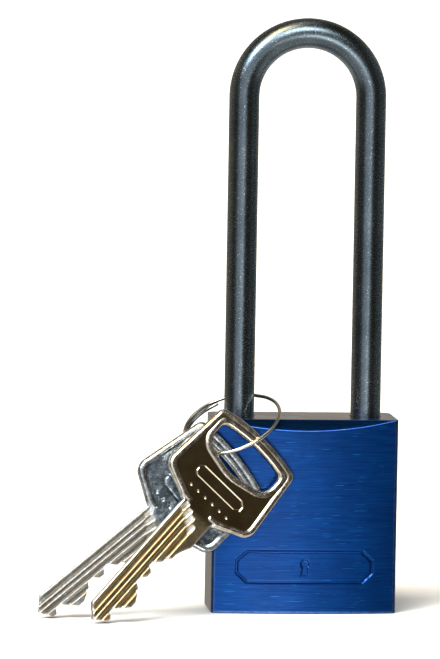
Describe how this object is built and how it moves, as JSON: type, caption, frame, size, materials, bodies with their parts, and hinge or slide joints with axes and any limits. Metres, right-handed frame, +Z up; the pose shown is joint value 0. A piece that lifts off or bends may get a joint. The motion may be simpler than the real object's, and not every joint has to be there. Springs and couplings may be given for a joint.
{
  "type": "padlock",
  "caption": "Long-shackle padlock with a blue anodised bowed case, ball-locked plated shackle, pin-tumbler cylinder, wire ring and flat-bow keys.",
  "frame": {"origin": "middle of the case's flat bottom face, where the upright lock stands", "axes": "+Z up along the shackle's legs, -Y out of the front face, X across the case"},
  "size_m": [0.078, 0.0376, 0.128],
  "materials": {
    "anodised_case": "blue anodised over horizontal brushing",
    "hardened_steel": "satin nickel-plated hardened steel",
    "ball_steel": "polished bearing steel",
    "cam_metal": "sintered steel",
    "brass_shell": "machined brass",
    "brass_plug": "machined brass",
    "key_pin_brass": "turned brass",
    "driver_steel": "turned steel",
    "spring_steel": "drawn spring wire",
    "pin_steel": "ground steel pin",
    "ring_nickel": "nickel-plated spring wire",
    "key_nickel": "nickel-plated brass"
  },
  "bodies": {
    "lock_body": {"case": "anodised_case", "cylinder_shell": "brass_shell", "chamber_cover": "brass_shell", "heel_pin": "pin_steel", "cylinder_pin": "pin_steel", "shackle_spring": "spring_steel", "pin_spring_1": "spring_steel", "pin_spring_2": "spring_steel", "pin_spring_3": "spring_steel", "pin_spring_4": "spring_steel", "pin_spring_5": "spring_steel"},
    "shackle_body": {"shackle": "hardened_steel"},
    "plug_body": {"plug": "brass_plug", "plug_clip": "spring_steel", "cam": "cam_metal"},
    "ball_left": {"locking_ball_left": "ball_steel"},
    "ball_right": {"locking_ball_right": "ball_steel"},
    "ring_body": {"key_ring": "ring_nickel"},
    "key_1_body": {"key_1": "key_nickel"},
    "key_2_body": {"key_2": "key_nickel"},
    "driver_1": {"driver_pin_1": "driver_steel"},
    "key_pin_1_body": {"key_pin_1": "key_pin_brass"},
    "driver_2": {"driver_pin_2": "driver_steel"},
    "key_pin_2_body": {"key_pin_2": "key_pin_brass"},
    "driver_3": {"driver_pin_3": "driver_steel"},
    "key_pin_3_body": {"key_pin_3": "key_pin_brass"},
    "driver_4": {"driver_pin_4": "driver_steel"},
    "key_pin_4_body": {"key_pin_4": "key_pin_brass"},
    "driver_5": {"driver_pin_5": "driver_steel"},
    "key_pin_5_body": {"key_pin_5": "key_pin_brass"}
  },
  "joints": [
    {"name": "plug_turn", "type": "hinge", "parent": "lock_body", "child": "plug_body", "pos_m": [0, 0, 0.0003], "axis": [0, 0, 1], "range_deg": [-90, 0]},
    {"name": "shackle_slide", "type": "slide", "parent": "lock_body", "child": "shackle_body", "axis": [0, 0, 1], "range_m": [0, 0.012], "deforming": ["shackle_spring"]},
    {"name": "ball_left_slide", "type": "slide", "parent": "lock_body", "child": "ball_left", "axis": [-1, 0, 0], "range_m": [0, 0.0022]},
    {"name": "ball_right_slide", "type": "slide", "parent": "lock_body", "child": "ball_right", "axis": [1, 0, 0], "range_m": [0, 0.0022]},
    {"name": "ring_lift", "type": "hinge", "parent": "lock_body", "child": "ring_body", "pos_m": [-0.00959, 0.0019, 0.04607], "axis": [0.7455, -0.6665, 0], "range_deg": [-35, 0]},
    {"name": "key_1_swing", "type": "hinge", "parent": "ring_body", "child": "key_1_body", "pos_m": [-0.01746, -0.01393, 0.03541], "axis": [-0.1957, 0.9619, -0.1908], "range_deg": [0, 40]},
    {"name": "key_2_swing", "type": "hinge", "parent": "ring_body", "child": "key_2_body", "pos_m": [-0.02198, -0.01112, 0.03484], "axis": [-0.0691, 0.9879, -0.1392], "range_deg": [0, 40]},
    {"name": "driver_pin_1_slide", "type": "slide", "parent": "lock_body", "child": "driver_1", "axis": [1, 0, 0], "range_m": [0, 0.0018], "deforming": ["pin_spring_1"]},
    {"name": "driver_pin_2_slide", "type": "slide", "parent": "lock_body", "child": "driver_2", "axis": [1, 0, 0], "range_m": [0, 0.0018], "deforming": ["pin_spring_2"]},
    {"name": "driver_pin_3_slide", "type": "slide", "parent": "lock_body", "child": "driver_3", "axis": [1, 0, 0], "range_m": [0, 0.0018], "deforming": ["pin_spring_3"]},
    {"name": "driver_pin_4_slide", "type": "slide", "parent": "lock_body", "child": "driver_4", "axis": [1, 0, 0], "range_m": [0, 0.0018], "deforming": ["pin_spring_4"]},
    {"name": "driver_pin_5_slide", "type": "slide", "parent": "lock_body", "child": "driver_5", "axis": [1, 0, 0], "range_m": [0, 0.0018], "deforming": ["pin_spring_5"]},
    {"name": "key_pin_1_slide", "type": "slide", "parent": "plug_body", "child": "key_pin_1_body", "axis": [0, 1, 0], "range_m": [-0.0046, 0]},
    {"name": "key_pin_2_slide", "type": "slide", "parent": "plug_body", "child": "key_pin_2_body", "axis": [0, 1, 0], "range_m": [-0.0019, 0]},
    {"name": "key_pin_3_slide", "type": "slide", "parent": "plug_body", "child": "key_pin_3_body", "axis": [0, 1, 0], "range_m": [-0.0021, 0]},
    {"name": "key_pin_4_slide", "type": "slide", "parent": "plug_body", "child": "key_pin_4_body", "axis": [0, 1, 0], "range_m": [-0.0049, 0]},
    {"name": "key_pin_5_slide", "type": "slide", "parent": "plug_body", "child": "key_pin_5_body", "axis": [0, 1, 0], "range_m": [-0.0021, 0]}
  ],
  "couplings": [
    {"joint": "ball_left_slide", "follows": "plug_turn", "m_per_rad": -0.0014006},
    {"joint": "ball_right_slide", "follows": "plug_turn", "m_per_rad": -0.0014006}
  ]
}
